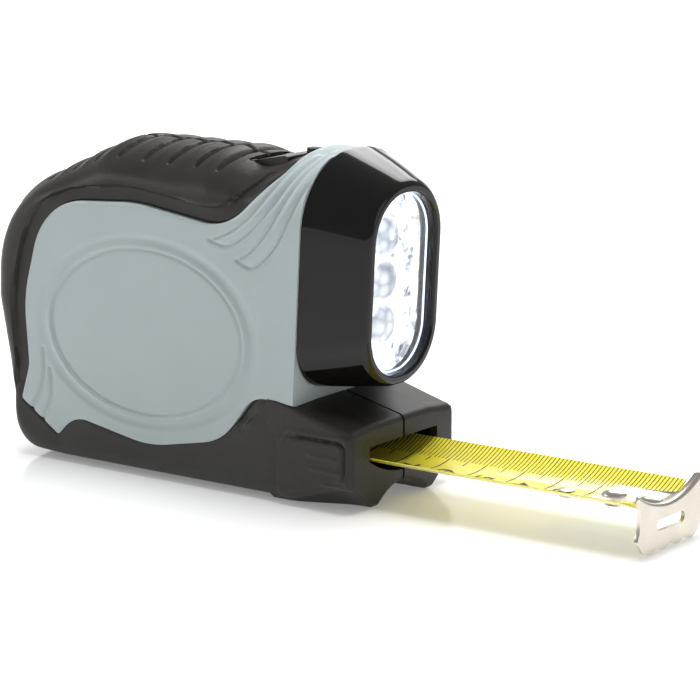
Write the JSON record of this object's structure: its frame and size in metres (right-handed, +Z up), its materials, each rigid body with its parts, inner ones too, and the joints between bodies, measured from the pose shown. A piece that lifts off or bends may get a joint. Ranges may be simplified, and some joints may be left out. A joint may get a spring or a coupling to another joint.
{
  "type": "tape measure",
  "caption": "Pocket tape measure with rubber grip, a curved steel blade with end hook, a thumb brake and a three-LED lamp in the front of its case.",
  "frame": {"origin": "on the flat base, on the parting plane of the two case halves, straight below the reel's axle", "axes": "+X towards the hook along the blade, +Z up, +Y across the case towards the belt clip"},
  "size_m": [0.1773, 0.046, 0.0782],
  "materials": {
    "case_abs": "fine moulded satin",
    "grip_rubber": "soft touch, slightly textured",
    "black_acetal": "moulded satin",
    "steel": "zinc plated",
    "clip_steel": "nickel plated spring steel",
    "board": "solder mask",
    "lamp_gloss": "piano black",
    "lens_clear": "clear polycarbonate",
    "reflector_chrome": "vacuum metallised",
    "led_epoxy": "clear epoxy",
    "cell_steel": "nickel plated can",
    "blade_paint": "yellow lacquer",
    "nickel": "bright nickel",
    "lever_abs": "smooth moulded"
  },
  "bodies": {
    "case": {"left_case": "case_abs", "right_case": "case_abs", "left_grip": "grip_rubber", "right_grip": "grip_rubber", "mouth_guide": "black_acetal", "reel_axle": "steel", "power_spring": "steel", "lever_pin": "steel", "lamp_switch": "black_acetal", "switch_board": "board", "lamp_housing": "lamp_gloss", "lamp_lens": "lens_clear", "lamp_reflector": "reflector_chrome", "leds": "led_epoxy", "led_board": "board", "button_cells": "cell_steel", "battery_holder": "black_acetal", "case_screws": "steel", "belt_clip": "clip_steel", "clip_screw": "steel"},
    "reel": {"reel_drum": "black_acetal", "tape_coil": "blade_paint"},
    "blade": {"tape_blade": "blade_paint", "hook_plate": "steel", "hook_rivets": "nickel"},
    "hook": {"hook": "nickel"},
    "thumb_lever": {"thumb_lever": "lever_abs", "brake_pad": "grip_rubber"},
    "lamp_button": {"lamp_button": "lever_abs"},
    "battery_door": {"battery_door": "case_abs"}
  },
  "joints": [
    {"name": "reel_spin", "type": "hinge", "parent": "case", "child": "reel", "pos_m": [0, 0, 0.034], "axis": [0, -1, 0], "range_deg": [-181.8, 41.2]},
    {"name": "blade_slide", "type": "slide", "parent": "case", "child": "blade", "axis": [1, 0, 0], "range_m": [-0.066, 0.015]},
    {"name": "hook_float", "type": "slide", "parent": "blade", "child": "hook", "axis": [1, 0, 0], "range_m": [-0.001, 0]},
    {"name": "lever_press", "type": "hinge", "parent": "case", "child": "thumb_lever", "pos_m": [0.0298, 0, 0.0704], "axis": [0, -1, 0], "range_deg": [0, 7], "stiffness_Nm_per_rad": 0.05, "springref_deg": -2.86},
    {"name": "button_press", "type": "slide", "parent": "case", "child": "lamp_button", "axis": [0, 0, -1], "range_m": [0, 0.0008], "stiffness_N_per_m": 300, "springref_m": -0.0005},
    {"name": "door_twist", "type": "hinge", "parent": "case", "child": "battery_door", "pos_m": [0.0334, 0.0198, 0.0364], "axis": [0, 1, 0], "range_deg": [0, 45]}
  ],
  "couplings": [
    {"joint": "blade_slide", "follows": "reel_spin", "m_per_rad": 0.0208}
  ]
}
